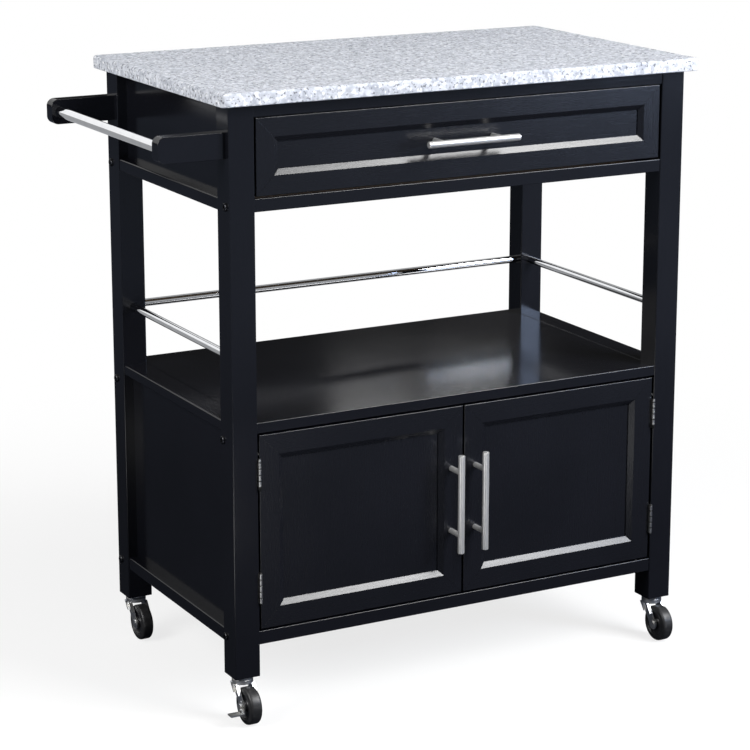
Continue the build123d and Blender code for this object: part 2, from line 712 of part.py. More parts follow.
save("granite_top", worktop())
for end in ENDS:
    for side in SIDES:
        save(f"leg_{end}_{side}", leg(side, end))
save("drawer_top_rail", front_rail(TOP_RAIL_HEIGHT))
save("drawer_bottom_rail", front_rail(DRAWER_RAIL_HEIGHT))
save("apron_back", back_board(DRAWER_RAIL_HEIGHT, LEG_TOP))
save("shelf", deck(SHELF_HEIGHT, SHELF_TOP))
save("shelf_cleat", shelf_cleat())
save("cabinet_floor", deck(FLOOR_HEIGHT, FLOOR_TOP))
save("cabinet_back", back_board(FLOOR_TOP, SHELF_HEIGHT))
for side in SIDES:
    save(f"apron_rail_{side}", side_rail(side, DRAWER_RAIL_HEIGHT, DRAWER_RAIL_TOP))
    save(f"apron_{side}", side_board(side, DRAWER_RAIL_TOP, LEG_TOP))
    save(f"shelf_rail_{side}", side_rail(side, SHELF_HEIGHT, SHELF_TOP))
    save(f"side_panel_{side}", side_board(side, FLOOR_TOP, SHELF_HEIGHT))
    save(f"bottom_rail_{side}", side_rail(side, FLOOR_HEIGHT, FLOOR_TOP))
    save(f"drawer_runner_{side}", drawer_runner(side))
save("leg_bolts", *[shank + head for shank, head in zip(bolt_shanks(0), bolt_heads())])
for name, rail in gallery_rods(0).items():
    save(f"gallery_rail_{name}", rail)
for end in ENDS:
    save(f"towel_arm_{end}", towel_arm(end))
save("towel_bar", towel_bar(0))

drawer_middle = middle(DRAWER_Z)
save("drawer_front_frame", *front_frame(DRAWER_X, DRAWER_Z, DRAWER_MEMBER))
save("drawer_front_panel", front_field(DRAWER_X, DRAWER_Z, DRAWER_MEMBER))
save("drawer_pull", *bar_pull(MIDDLE, drawer_middle, FIELD_FACE, Vector(1, 0, 0)))
for side in SIDES:
    save(f"drawer_side_{side}", drawer_side(side))
save("drawer_back", drawer_back())
save("drawer_bottom", drawer_bottom(0))

frame_hinges = []
for side in SIDES:
    span = door_span(side)
    meeting_edge = span[1] if side == "left" else span[0]
    pull_x = meeting_edge - SIDES[side][1] * DOOR_PULL_INSET
    pull_z = middle(DOOR_Z) + DOOR_PULL_RISE
    save(f"{side}_door_frame", *front_frame(span, DOOR_Z, DOOR_MEMBER))
    save(f"{side}_door_panel", front_field(span, DOOR_Z, DOOR_MEMBER))
    save(f"{side}_door_pull", *bar_pull(pull_x, pull_z, FRONT_FACE, Vector(0, 0, 1)))
    save(f"{side}_door_hardware", *door_leaves(side), door_strike(side))
    frame_hinges += leg_leaves(side)
    heads = hinge_pin_heads(side)
    for pin, low_head, high_head in zip(hinge_pins(side, 0), heads[0::2], heads[1::2]):
        frame_hinges.append(pin + low_head + high_head)
save("hinge_leg_leaves_and_pins", *frame_hinges)
save("door_catches", *[door_catch(side) for side in SIDES])

stems = []
for end in ENDS:
    for side in SIDES:
        x, y = leg_centre(side, end)
        braked = (side, end) in (("left", "front"), ("right", "back"))
        stems.append(caster_stem(x, y))
        save(f"caster_fork_{end}_{side}", caster_fork(x, y), caster_axle(x, y, braked))
        save(f"caster_wheel_{end}_{side}", caster_wheel(x, y))
        if braked:
            save(f"brake_lever_{end}_{side}", brake_lever(x, y))
save("caster_stems", *stems)
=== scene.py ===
"""Looks of the rolling kitchen cart: granite, black lacquer, chrome, satin nickel, zinc and rubber.

Metres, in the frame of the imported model: +Z up, the front faces -Y, the towel bar is on the -X side.
"""
import bpy
import numpy as np
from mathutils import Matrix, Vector


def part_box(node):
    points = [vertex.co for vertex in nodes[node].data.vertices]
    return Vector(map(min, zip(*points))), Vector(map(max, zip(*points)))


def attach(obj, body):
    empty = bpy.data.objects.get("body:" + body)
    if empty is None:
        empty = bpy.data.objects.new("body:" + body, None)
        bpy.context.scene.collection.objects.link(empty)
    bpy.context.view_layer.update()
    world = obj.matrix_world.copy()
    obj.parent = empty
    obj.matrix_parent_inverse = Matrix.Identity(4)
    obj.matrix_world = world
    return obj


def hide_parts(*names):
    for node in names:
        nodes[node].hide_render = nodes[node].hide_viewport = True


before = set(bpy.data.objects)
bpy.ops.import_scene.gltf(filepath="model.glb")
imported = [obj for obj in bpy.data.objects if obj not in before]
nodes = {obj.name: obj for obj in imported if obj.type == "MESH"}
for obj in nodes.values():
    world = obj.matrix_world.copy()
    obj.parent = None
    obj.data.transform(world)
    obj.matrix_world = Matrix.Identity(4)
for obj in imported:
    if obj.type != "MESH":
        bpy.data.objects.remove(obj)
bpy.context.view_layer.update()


# Legs: four square posts of solid rubberwood, planed, eased along their corners and sprayed with
# black semi-gloss lacquer, through which the grain still shows a little. Each stands on a caster.

class Tone:
    """A shader socket. Sums, differences and products of tones and numbers add Math nodes."""

    def __init__(self, tree, socket=None):
        self.tree = tree
        self.socket = socket

    def node(self, kind, settings=None, inputs=None, output=0):
        """Adds a node, makes its settings, fills or links its sockets and gives one output as a tone."""
        made = self.tree.nodes.new(kind)
        for name, value in (settings or {}).items():
            setattr(made, name, value)
        for name, value in (inputs or {}).items():
            if isinstance(value, Tone):
                self.tree.links.new(value.socket, made.inputs[name])
            else:
                made.inputs[name].default_value = value
        return Tone(self.tree, made.outputs[output]) if made.outputs else None

    def other(self, output):
        """Another output of the node that gave this tone."""
        return Tone(self.tree, self.socket.node.outputs[output])

    def maths(self, operation, first, second=0.0):
        """A Math node on one or two values."""
        return self.node("ShaderNodeMath", {"operation": operation}, {0: first, 1: second})

    def __add__(self, other):
        return self.maths("ADD", self, other)

    __radd__ = __add__

    def __sub__(self, other):
        return self.maths("SUBTRACT", self, other)

    def __rsub__(self, other):
        return self.maths("SUBTRACT", other, self)

    def __mul__(self, other):
        return self.maths("MULTIPLY", self, other)

    __rmul__ = __mul__


def start_finish(name):
    """A new material and the empty tone that adds nodes to it."""
    material = bpy.data.materials.new(name)
    material.use_nodes = True
    material.node_tree.nodes.clear()
    return material, Tone(material.node_tree)


def place(tone, stretch=(1, 1, 1)):
    """Object coordinates, shortened along an axis where the pattern is long."""
    spot = tone.node("ShaderNodeTexCoord", output="Object")
    return tone.node("ShaderNodeMapping", None, {"Vector": spot, "Scale": stretch})


def grains(tone, spot, size, detail=2.0, roughness=0.5):
    """Soft noise from 0 to 1 whose grains are about size metres across."""
    inputs = {"Vector": spot, "Scale": 1 / size, "Detail": detail, "Roughness": roughness}
    return tone.node("ShaderNodeTexNoise", None, inputs, "Fac")


def between(tone, value, low, high):
    """0 below low, 1 above high and a smooth rise between them."""
    inputs = {"Value": value, "From Min": low, "From Max": high}
    return tone.node("ShaderNodeMapRange", {"interpolation_type": "SMOOTHSTEP"}, inputs, "Result")


def blend_colours(tone, share, first, second):
    """The first colour where share is 0 and the second where it is 1."""
    return tone.node("ShaderNodeMix", {"data_type": "RGBA"}, {0: share, 6: first, 7: second}, 2)


def bumped(tone, height, distance):
    """A normal tilted by a height from 0 to 1 that stands for distance metres."""
    return tone.node("ShaderNodeBump", None, {"Height": height, "Distance": distance, "Strength": 1.0})


def close_finish(tone, inputs):
    """One Principled surface, joined to the material's output."""
    shader = tone.node("ShaderNodeBsdfPrincipled", None, inputs)
    tone.node("ShaderNodeOutputMaterial", None, {"Surface": shader})


def paint_on(material, *names):
    """Gives CAD nodes a material in place of the plain one they came with."""
    for name in names:
        for material_slot in nodes[name].material_slots:
            material_slot.material = material


GRAIN_RUN = 0.04
UPRIGHT = (1, 1, GRAIN_RUN)
ACROSS = (GRAIN_RUN, 1, 1)
DEEP = (1, GRAIN_RUN, 1)
PORE_WIDTH = 0.0022
PORE_EDGE = (0.50, 0.72)
PORE_TINT = 0.5
PORE_DEPTH = 0.65
PORE_DULLING = 0.04
PEEL_SIZE = 0.0035
PEEL_HEIGHT = 0.35
HAZE_SIZE = 0.16
HAZE_EDGE = (0.30, 0.70)
HAZE_DULLING = 0.02
SEAM_DEPTH = 3
LACQUER_RELIEF = 0.000012
LACQUER_GLOSS = 0.15
LACQUER_THIN = (0.0042, 0.0045, 0.0064, 1)
LACQUER_FULL = (0.0050, 0.0053, 0.0077, 1)
LACQUER_PORE = (0.0032, 0.0033, 0.0046, 1)
LACQUER_SEAM = (0.0014, 0.0014, 0.0019, 1)


def wood_pores(tone, run):
    """Long shallow pores from 0 to 1: noise drawn out along the grain's run."""
    noise = grains(tone, place(tone, run), PORE_WIDTH, detail=3, roughness=0.62)
    return between(tone, noise, *PORE_EDGE)


def close_lacquer(tone, pores, gloss, seam=None):
    """Black lacquer over pores: blue-black, a little duller in the pores, with a sprayed orange peel. A
    seam, where there is one, is darker and sunk."""
    peel = grains(tone, place(tone), PEEL_SIZE, detail=1)
    haze = between(tone, grains(tone, place(tone), HAZE_SIZE, detail=3), *HAZE_EDGE)
    colour = blend_colours(tone, haze, LACQUER_THIN, LACQUER_FULL)
    colour = blend_colours(tone, pores * PORE_TINT, colour, LACQUER_PORE)
    height = peel * PEEL_HEIGHT - pores * PORE_DEPTH
    if seam:
        colour = blend_colours(tone, seam, colour, LACQUER_SEAM)
        height = height - seam * SEAM_DEPTH
    close_finish(tone, {
        "Base Color": colour,
        "Roughness": gloss + haze * HAZE_DULLING + pores * PORE_DULLING,
        "Normal": bumped(tone, height, LACQUER_RELIEF),
    })


def board_lacquer(name, run, gloss=LACQUER_GLOSS):
    """Lacquer on a board whose grain follows one axis."""
    material, tone = start_finish(name)
    close_lacquer(tone, wood_pores(tone, run), gloss)
    return material


lacquer_upright = board_lacquer("black_lacquer_upright", UPRIGHT)
for end in ("front", "back"):
    for side in ("left", "right"):
        paint_on(lacquer_upright, f"leg_{end}_{side}")


# Rails and boards: rails as wide as the legs, thin aprons and panels, the shelf and the cabinet floor.
# They are lacquered like the legs and bolted, doweled and glued between them.

lacquer_across = board_lacquer("black_lacquer_across", ACROSS)
lacquer_deep = board_lacquer("black_lacquer_deep", DEEP)
paint_on(lacquer_across, "drawer_top_rail", "drawer_bottom_rail", "apron_back", "shelf", "shelf_cleat")
paint_on(lacquer_across, "cabinet_floor", "cabinet_back")
for side in ("left", "right"):
    paint_on(lacquer_deep, f"apron_rail_{side}", f"apron_{side}", f"shelf_rail_{side}")
    paint_on(lacquer_deep, f"side_panel_{side}", f"bottom_rail_{side}")


# Leg bolts: blackened steel furniture bolts with low domed heads and hexagon sockets, driven through
# the legs into the ends of the rails. Their heads lie on the legs' outer faces.

BOLT_HEAD_RADIUS = 0.0060
BOLT_HEAD_HEIGHT = 0.0030
BOLT_HEAD_EASE = 0.0018
BOLT_HEAD_STEPS = 6
BOLT_SOCKET_RADIUS = 0.0023
BOLT_SOCKET_DEPTH = 0.0020
BOLT_SOCKET_EASE = 0.0004
BOLT_SOCKET_BLEND = 0.6
BOLT_SHANK_RADIUS = 0.0030
BOLT_LENGTH = 0.0620
BOLT_TIP = 0.0010
BOLT_TURNS = 36
BOLT_SETBACK = 0.012
DEEP_BOLT_EDGE = 0.008
SHARP_ANGLE = 0.6
PATCH_SIZE = 0.012
PATCH_EDGE = (0.35, 0.65)
RUB_SIZE = 0.0009
RUB_RUN = (1, 1, 0.2)
RUB_DULLING = 0.16
RUB_RELIEF = 0.00002
BLACK_STEEL_COOL = (0.045, 0.047, 0.055, 1)
BLACK_STEEL_WARM = (0.060, 0.060, 0.062, 1)
BLACK_STEEL_GLOSS = 0.24


def hexagon(angle):
    """Radius of a hexagon of unit flats at an angle: one over the cosine of the turn from the nearest
    flat."""
    turn = np.mod(angle, np.pi / 3) - np.pi / 6
    return 1 / np.cos(turn)


def round_form(angle):
    """Radius of a unit circle at an angle: 1 all round."""
    return np.ones_like(angle)


def skin(grid, looped):
    """Triangles over a grid of points whose columns run round, as its rows do if it is looped: two to
    each cell. Points that coincide, as at a pole, become one, and triangles that shrink to a line are
    dropped."""
    rows, turns = grid.shape[:2]
    row, column = np.meshgrid(np.arange(rows if looped else rows - 1), np.arange(turns), indexing="ij")
    after, beside = (row + 1) % rows, (column + 1) % turns
    near, far = row * turns, after * turns
    halves = [(near + column, far + column, far + beside), (near + column, far + beside, near + beside)]
    triangles = np.concatenate([np.stack(half, -1).reshape(-1, 3) for half in halves])
    points, number = np.unique(grid.reshape(-1, 3).round(7), axis=0, return_inverse=True)
    triangles = number.reshape(-1)[triangles]
    whole = (triangles != np.roll(triangles, 1, axis=1)).all(axis=1)
    return points, triangles[whole]


def spun(outline, turns, form=round_form):
    """A form turned about +Z. Each row of the outline is a radius, a height and the share of form in its
    ring, so a point is (r cos a, r sin a, h) with r = radius (1 - share + share form(a)). An outline that
    starts on the axis ends on it too, and any other is a loop."""
    rings = np.asarray(outline, float)
    angle = np.linspace(0, 2 * np.pi, turns, endpoint=False)
    radius = rings[:, :1] * (1 - rings[:, 2:] + rings[:, 2:] * form(angle))
    height = np.broadcast_to(rings[:, 1:2], radius.shape)
    grid = np.stack([radius * np.cos(angle), radius * np.sin(angle), height], -1)
    return skin(grid, looped=rings[0, 0] > 0)


def set_out(form, spots, axis):
    """Copies of a form with their feet at the spots: each point is turned from +Z to the axis, then
    moved."""
    points, triangles = form
    turn = np.array(Vector(axis).to_track_quat("Z", "Y").to_matrix())
    spots = np.asarray(spots, float)
    copies = (points @ turn.T)[None] + spots[:, None]
    first = np.arange(len(spots))[:, None, None] * len(points)
    return copies.reshape(-1, 3), (triangles[None] + first).reshape(-1, 3)


def together(*forms):
    """Several forms as one."""
    starts = np.cumsum([0] + [len(points) for points, _ in forms])
    points = np.concatenate([points for points, _ in forms])
    return points, np.concatenate([triangles + start for (_, triangles), start in zip(forms, starts)])


def add_piece(name, form, material, slot, body, *replaced):
    """A mesh of a closed form, which rides on a body and may stand for CAD nodes. Its faces point
    outwards: the sum of p0 . (p1 x p2) over the triangles, six times the volume inside, is above 0."""
    points, triangles = form
    corners = points[triangles]
    if np.einsum("ij,ij->", corners[:, 0], np.cross(corners[:, 1], corners[:, 2])) < 0:
        triangles = triangles[:, ::-1]
    mesh = bpy.data.meshes.new(name)
    mesh.from_pydata(points.tolist(), [], triangles.tolist())
    mesh.polygons.foreach_set("use_smooth", np.ones(len(triangles), bool))
    mesh.set_sharp_from_angle(angle=SHARP_ANGLE)
    mesh.materials.append(material)
    piece = bpy.data.objects.new(name, mesh)
    bpy.context.scene.collection.objects.link(piece)
    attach(piece, body)
    if replaced:
        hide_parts(*replaced)


def rounded(radius, height, ease, steps):
    """Rows of an outline round the upper rim: a quarter circle of the ease from the top to the side."""
    angle = np.linspace(np.pi / 2, 0, steps)
    across = radius - ease + ease * np.cos(angle)
    return np.stack([across, height - ease + ease * np.sin(angle), np.zeros(steps)], -1)


def plated_steel(name, cool, warm, gloss):
    """Plated steel: a cool and a warm cast in patches, and fine rubbing marks."""
    material, tone = start_finish(name)
    patch = between(tone, grains(tone, place(tone), PATCH_SIZE, detail=3), *PATCH_EDGE)
    rub = grains(tone, place(tone, RUB_RUN), RUB_SIZE)
    close_finish(tone, {
        "Base Color": blend_colours(tone, patch, cool, warm),
        "Metallic": 1.0,
        "Roughness": gloss + rub * RUB_DULLING,
        "Normal": bumped(tone, rub, RUB_RELIEF),
    })
    return material


def middle(node):
    """The middle of a node's box."""
    low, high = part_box(node)
    return (low + high) / 2


black_steel = plated_steel("blackened_steel", BLACK_STEEL_COOL, BLACK_STEEL_WARM, BLACK_STEEL_GLOSS)
bolt_outline = np.vstack([
    (0, BOLT_HEAD_HEIGHT - BOLT_SOCKET_DEPTH, 0),
    (BOLT_SOCKET_RADIUS, BOLT_HEAD_HEIGHT - BOLT_SOCKET_DEPTH, 1),
    (BOLT_SOCKET_RADIUS, BOLT_HEAD_HEIGHT - BOLT_SOCKET_EASE / 2, 1),
    (BOLT_SOCKET_RADIUS + BOLT_SOCKET_EASE, BOLT_HEAD_HEIGHT, BOLT_SOCKET_BLEND),
    rounded(BOLT_HEAD_RADIUS, BOLT_HEAD_HEIGHT, BOLT_HEAD_EASE, BOLT_HEAD_STEPS),
    (BOLT_HEAD_RADIUS, 0, 0),
    (BOLT_SHANK_RADIUS, 0, 0),
    (BOLT_SHANK_RADIUS, BOLT_TIP - BOLT_LENGTH, 0),
    (BOLT_SHANK_RADIUS - BOLT_TIP, -BOLT_LENGTH, 0),
    (0, -BOLT_LENGTH, 0),
])
bolt_form = spun(bolt_outline, BOLT_TURNS, hexagon)
bolt_heights = [middle(node).z for node in ("drawer_bottom_rail", "shelf_cleat", "cabinet_floor")]
bolt_rows = []
for side, way in (("left", -1), ("right", 1)):
    spots = []
    for end, inward in (("front", 1), ("back", -1)):
        low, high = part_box(f"leg_{end}_{side}")
        outer, inner = (low.y, high.y) if end == "front" else (high.y, low.y)
        deep = inner - DEEP_BOLT_EDGE if end == "front" else outer - BOLT_SETBACK
        face = low.x if side == "left" else high.x
        depths = (outer + inward * BOLT_SETBACK, deep, deep)
        spots += [(face, depth, height) for depth, height in zip(depths, bolt_heights)]
    bolt_rows.append(set_out(bolt_form, spots, (way, 0, 0)))
add_piece("leg_bolt_set", together(*bolt_rows), black_steel, "zinc_steel", "cart_frame", "leg_bolts")


# Casters: a stem set in each leg's foot, a pressed fork that swivels on it, and a riveted axle, all zinc
# plated. Two of the forks carry a brake lever.

ZINC_COOL = (0.64, 0.66, 0.70, 1)
ZINC_WARM = (0.74, 0.73, 0.70, 1)
ZINC_GLOSS = 0.34
zinc = plated_steel("bright_zinc", ZINC_COOL, ZINC_WARM, ZINC_GLOSS)
paint_on(zinc, "caster_stems", "brake_lever_front_left", "brake_lever_back_right")
for end in ("front", "back"):
    for side in ("left", "right"):
        paint_on(zinc, f"caster_fork_{end}_{side}")


# Wheels: a grey-black rubber tyre moulded round a harder black nylon hub, whose dished web runs from a
# rim to the boss on the axle.

WHEEL_RADIUS = 0.0275
WHEEL_TURNS = 72
TYRE_HALF = 0.0090
TYRE_EASE = 0.0040
TYRE_STEPS = 7
TYRE_CROWN = 0.0006
TYRE_INNER = 0.0190
TYRE_LIP = 0.0012
TYRE_SEAT = 0.0066
RIM_HALF = 0.0082
RIM_INNER = 0.0170
RIM_EASE = 0.0005
WEB_HALF = 0.0054
WEB_EASE = 0.0009
BOSS_RADIUS = 0.0086
BOSS_HALF = 0.0090
AXLE_BORE = 0.0031
HUB_MIDDLE = 0.0010
STIPPLE_SIZE = 0.0007
STIPPLE_RELIEF = 0.00003
SCUFF_SIZE = 0.006
SCUFF_EDGE = (0.48, 0.74)
SCUFF_DULLING = 0.18
RUBBER = (0.014, 0.014, 0.015, 1)
RUBBER_SCUFF = (0.032, 0.032, 0.033, 1)
RUBBER_GLOSS = 0.42
NYLON = (0.020, 0.020, 0.022, 1)
NYLON_SCUFF = (0.034, 0.034, 0.036, 1)
NYLON_GLOSS = 0.30


def both_sides(half_outline):
    """A loop from one half: its rows, then the same rows with their heights turned round, in reverse."""
    half_outline = np.asarray(half_outline, float)
    return np.vstack([half_outline, (half_outline * (1, -1, 1))[::-1]])


def moulded_finish(name, colour, worn, gloss):
    """Moulded black: a fine stipple and a paler scuff in patches."""
    material, tone = start_finish(name)
    stipple = grains(tone, place(tone), STIPPLE_SIZE)
    scuff = between(tone, grains(tone, place(tone), SCUFF_SIZE, detail=4, roughness=0.6), *SCUFF_EDGE)
    close_finish(tone, {
        "Base Color": blend_colours(tone, scuff, colour, worn),
        "Roughness": gloss + scuff * SCUFF_DULLING,
        "Normal": bumped(tone, stipple, STIPPLE_RELIEF),
    })
    return material


rubber = moulded_finish("tyre_rubber", RUBBER, RUBBER_SCUFF, RUBBER_GLOSS)
nylon = moulded_finish("hub_nylon", NYLON, NYLON_SCUFF, NYLON_GLOSS)
tyre_loop = both_sides(np.vstack([
    (WHEEL_RADIUS, TYRE_CROWN, 0),
    rounded(WHEEL_RADIUS, TYRE_HALF, TYRE_EASE, TYRE_STEPS)[::-1],
    (TYRE_INNER + TYRE_LIP, TYRE_HALF, 0),
    (TYRE_INNER, TYRE_HALF - TYRE_LIP, 0),
    (TYRE_INNER, TYRE_SEAT, 0),
]))
hub_loop = both_sides([
    (TYRE_INNER, HUB_MIDDLE, 0),
    (TYRE_INNER, RIM_HALF - RIM_EASE, 0),
    (TYRE_INNER - RIM_EASE, RIM_HALF, 0),
    (RIM_INNER + RIM_EASE, RIM_HALF, 0),
    (RIM_INNER, RIM_HALF - RIM_EASE, 0),
    (RIM_INNER - WEB_EASE, WEB_HALF, 0),
    (BOSS_RADIUS + WEB_EASE, WEB_HALF, 0),
    (BOSS_RADIUS, WEB_HALF + WEB_EASE, 0),
    (BOSS_RADIUS, BOSS_HALF - RIM_EASE, 0),
    (BOSS_RADIUS - RIM_EASE, BOSS_HALF, 0),
    (AXLE_BORE, BOSS_HALF, 0),
    (AXLE_BORE, HUB_MIDDLE, 0),
])
tyre_form = spun(tyre_loop, WHEEL_TURNS)
hub_form = spun(hub_loop, WHEEL_TURNS)
for end in ("front", "back"):
    for side in ("left", "right"):
        node, body = f"caster_wheel_{end}_{side}", f"wheel_{end}_{side}"
        tyre, hub = [set_out(form, [middle(node)], (1, 0, 0)) for form in (tyre_form, hub_form)]
        add_piece(f"caster_tyre_{end}_{side}", tyre, rubber, "wheel_black", body, node)
        add_piece(f"caster_hub_{end}_{side}", hub, nylon, "wheel_black", body)


# Drawer box: pale pine sides and back with a thin plywood bottom in their grooves, waxed. It runs on two
# pine strips that are screwed to the aprons.

PINE_RING = 0.006
PLY_RING = 0.014
DRIFT_SIZE = 0.03
DRIFT_SHARE = 0.5
LATE_EDGE = (0.68, 0.86)
LATE_RISE = 0.4
LATE_POLISH = 0.06
FIBRE_SIZE = 0.0008
FIBRE_SHARE = 0.30
FIBRE_DULLING = 0.14
PINE_GLOSS = 0.46
PINE_RELIEF = 0.00006
EARLY_WOOD = (0.62, 0.47, 0.30, 1)
LATE_WOOD = (0.46, 0.31, 0.17, 1)
PALE_FIBRE = (0.70, 0.57, 0.40, 1)


def pine_finish(name, run, ring_size):
    """Pine: growth rings drawn out along the grain, darker late wood, and fine fibres."""
    material, tone = start_finish(name)
    drift = grains(tone, place(tone, run), DRIFT_SIZE)
    ring = grains(tone, place(tone, run), ring_size, detail=3, roughness=0.45)
    late = between(tone, ring + drift * DRIFT_SHARE, *LATE_EDGE)
    fibre = grains(tone, place(tone, run), FIBRE_SIZE, detail=3, roughness=0.6)
    colour = blend_colours(tone, late, EARLY_WOOD, LATE_WOOD)
    close_finish(tone, {
        "Base Color": blend_colours(tone, fibre * FIBRE_SHARE, colour, PALE_FIBRE),
        "Roughness": PINE_GLOSS + fibre * FIBRE_DULLING - late * LATE_POLISH,
        "Normal": bumped(tone, fibre + late * LATE_RISE, PINE_RELIEF),
    })
    return material


pine_deep = pine_finish("pine_deep", DEEP, PINE_RING)
for side in ("left", "right"):
    paint_on(pine_deep, f"drawer_side_{side}", f"drawer_runner_{side}")
paint_on(pine_finish("pine_across", ACROSS, PINE_RING), "drawer_back")
paint_on(pine_finish("plywood_across", ACROSS, PLY_RING), "drawer_bottom")


# Drawer front and doors: four mitred members with a bevelled inner edge round a thin recessed panel, all
# black lacquer. The grain turns at each mitre, where a hairline shows.

FRONT_GLOSS = 0.25
MITRE_TURN = (-0.0001, 0.0001)
HAIRLINE_EDGE = (0.0001, 0.0005)


def framed_lacquer(node):
    """Lacquer on a mitred frame: a point nearer to an end of the box than to its top or bottom is on an
    upright member, and the hairline lies where the two distances are alike."""
    material, tone = start_finish(f"black_lacquer_{node}")
    low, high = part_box(node)
    across = tone.node("ShaderNodeSeparateXYZ", None, {"Vector": place(tone)}, "X")
    inward = []
    for spot, near, far in ((across, low.x, high.x), (across.other("Z"), low.z, high.z)):
        inward.append((far - near) / 2 - tone.maths("ABSOLUTE", spot - (near + far) / 2))
    lead = inward[1] - inward[0]
    upright = between(tone, lead, *MITRE_TURN)
    hairline = 1 - between(tone, tone.maths("ABSOLUTE", lead), *HAIRLINE_EDGE)
    pores = wood_pores(tone, UPRIGHT) * upright + wood_pores(tone, ACROSS) * (1 - upright)
    close_lacquer(tone, pores, FRONT_GLOSS, hairline)
    return material


for node in ("drawer_front_frame", "left_door_frame", "right_door_frame"):
    paint_on(framed_lacquer(node), node)
drawer_panel_lacquer = board_lacquer("black_lacquer_drawer_panel", ACROSS, FRONT_GLOSS)
door_panel_lacquer = board_lacquer("black_lacquer_door_panels", UPRIGHT, FRONT_GLOSS)
paint_on(drawer_panel_lacquer, "drawer_front_panel")
paint_on(door_panel_lacquer, "left_door_panel", "right_door_panel")


# Pulls: round steel bars on two posts, plated and brushed to satin nickel, each held by two pan-head
# screws from behind the front.

PULL_CENTRES = 0.096
BRUSH_SIZE = 0.0006
BRUSH_DULLING = 0.10
BRUSH_RELIEF = 0.000012
SMEAR_SIZE = 0.03
SMEAR_EDGE = (0.35, 0.65)
SMEAR_DULLING = 0.03
NICKEL_DARK = (0.66, 0.655, 0.645, 1)
NICKEL_LIGHT = (0.78, 0.775, 0.765, 1)
NICKEL_METAL = 0.72
NICKEL_GLOSS = 0.24
SCREW_RADIUS = 0.0039
SCREW_HEIGHT = 0.0022
SCREW_EASE = 0.0013
SCREW_STEPS = 6
SCREW_TURNS = 48
SCREW_SLOT = 0.0021
SLOT_DEPTH = 0.0013
SLOT_DEEPEST = 0.8
SLOT_FLOOR = 0.8
SLOT_RIM = 1.2
SLOT_RIM_BLEND = 0.2
ARM_HALF = 0.3
LEAST_SINE = 0.05


def cross_slot(angle):
    """Radius of a cross with arms of unit length at an angle: the nearer of an arm's end, 1 / cos, and
    its side, half its width / sin, where the sine is kept above 0."""
    turn = np.abs(np.mod(angle + np.pi / 4, np.pi / 2) - np.pi / 4)
    return np.minimum(1 / np.cos(turn), ARM_HALF / np.maximum(np.sin(turn), LEAST_SINE))


def screw_form(radius, height, ease, slot):
    """A screw's head with a cross slot, turned from its outline."""
    floor = height - min(SLOT_DEPTH, SLOT_DEEPEST * height)
    return spun(np.vstack([
        (0, floor, 0),
        (SLOT_FLOOR * slot, floor, 1),
        (slot, height, 1),
        (SLOT_RIM * slot, height, SLOT_RIM_BLEND),
        rounded(radius, height, ease, SCREW_STEPS),
        (radius, 0, 0),
        (0, 0, 0),
    ]), SCREW_TURNS, cross_slot)


def brush_lines(tone, run):
    """Fine brush lines from 0 to 1, drawn out along the run."""
    return grains(tone, place(tone, run), BRUSH_SIZE, detail=3, roughness=0.6)


def nickel_finish(name, run):
    """Satin nickel: warm grey, with fine brush lines and a few smears."""
    material, tone = start_finish(name)
    brush = brush_lines(tone, run)
    smear = between(tone, grains(tone, place(tone), SMEAR_SIZE), *SMEAR_EDGE)
    close_finish(tone, {
        "Base Color": blend_colours(tone, brush, NICKEL_DARK, NICKEL_LIGHT),
        "Metallic": NICKEL_METAL,
        "Roughness": NICKEL_GLOSS + brush * BRUSH_DULLING + smear * SMEAR_DULLING,
        "Normal": bumped(tone, brush, BRUSH_RELIEF),
    })
    return material


nickel_upright = nickel_finish("satin_nickel_upright", UPRIGHT)
paint_on(nickel_finish("satin_nickel_across", ACROSS), "drawer_pull")
paint_on(nickel_upright, "left_door_pull", "right_door_pull")
pull_screw = screw_form(SCREW_RADIUS, SCREW_HEIGHT, SCREW_EASE, SCREW_SLOT)
pull_backs = {
    "drawer": ("drawer_pull", "drawer_front_panel", (1, 0, 0)),
    "left_door": ("left_door_pull", "left_door_frame", (0, 0, 1)),
    "right_door": ("right_door_pull", "right_door_frame", (0, 0, 1)),
}
for body, (pull, front, run) in pull_backs.items():
    seat = middle(pull)
    seat.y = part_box(front)[1].y
    spots = [seat + Vector(run) * way * PULL_CENTRES / 2 for way in (-1, 1)]
    add_piece(f"{pull}_screws", set_out(pull_screw, spots, (0, 1, 0)), zinc, "zinc_steel", body)


# Hinges: steel butt hinges, two to a door, nickel plated, with five rolled knuckles on a pin and three
# countersunk screws in each leaf. Each door also carries a strike plate for its catch.

HINGE_LENGTH = 0.045
LEAF_THICKNESS = 0.0013
KNUCKLES = 5
KNUCKLE_GAP = 0.0005
KNUCKLE_PITCH = (HINGE_LENGTH + KNUCKLE_GAP) / KNUCKLES
# The next two numbers shape the band of painted shade, partly dirt, at each gap between knuckles.
GAP_SHADE_EDGE = (0.0005, 0.0011)
GAP_SHADE_DULLING = 0.3
HINGE_DARK = (0.46, 0.455, 0.445, 1)
HINGE_LIGHT = (0.56, 0.555, 0.545, 1)
# Painted shade, partly dirt, for the gaps between the knuckles.
HINGE_GAP_SHADE = (0.03, 0.03, 0.03, 1)
HINGE_GLOSS = 0.26
HINGE_SCREW_RADIUS = 0.0026
HINGE_SCREW_PROUD = 0.00015
HINGE_SCREW_EASE = 0.0001
HINGE_SCREW_SLOT = 0.0015
HINGE_SCREW_RISES = (-0.015, 0.0, 0.015)
HINGE_SCREW_DEPTHS = (0.005, 0.011, 0.005)


